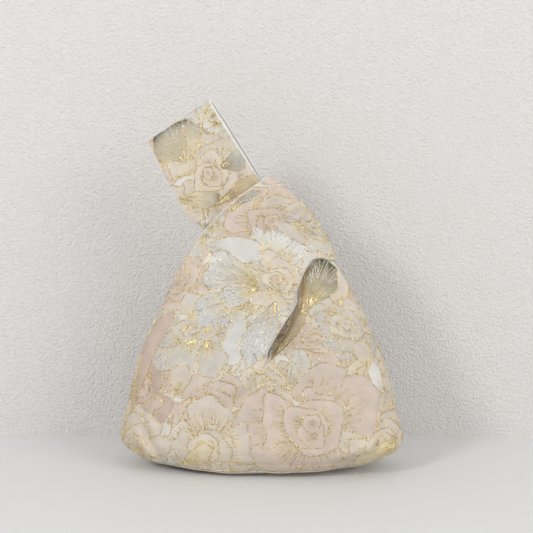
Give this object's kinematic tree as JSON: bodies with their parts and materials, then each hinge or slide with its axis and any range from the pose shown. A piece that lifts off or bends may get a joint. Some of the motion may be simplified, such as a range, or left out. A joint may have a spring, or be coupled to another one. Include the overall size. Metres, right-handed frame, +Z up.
{
  "type": "knot bag",
  "caption": "Soft lined wrist bag in floral brocade, its long handle loop drawn through its short loop to close it.",
  "frame": {"origin": "centre of the oval base, on the surface that the bag stands on", "axes": "+Z up, front of the bag faces -Y, the short loop's side is -X and the long loop's side is +X"},
  "size_m": [0.2556, 0.0992, 0.328],
  "materials": {
    "brocade": "woven floral brocade, pastel with gold outline threads",
    "satin": "silver-white satin"
  },
  "bodies": {
    "root": {"outer_front": "brocade", "outer_back": "brocade", "outer_base": "brocade", "lining_front": "satin", "lining_back": "satin", "lining_base": "satin"}
  },
  "joints": []
}
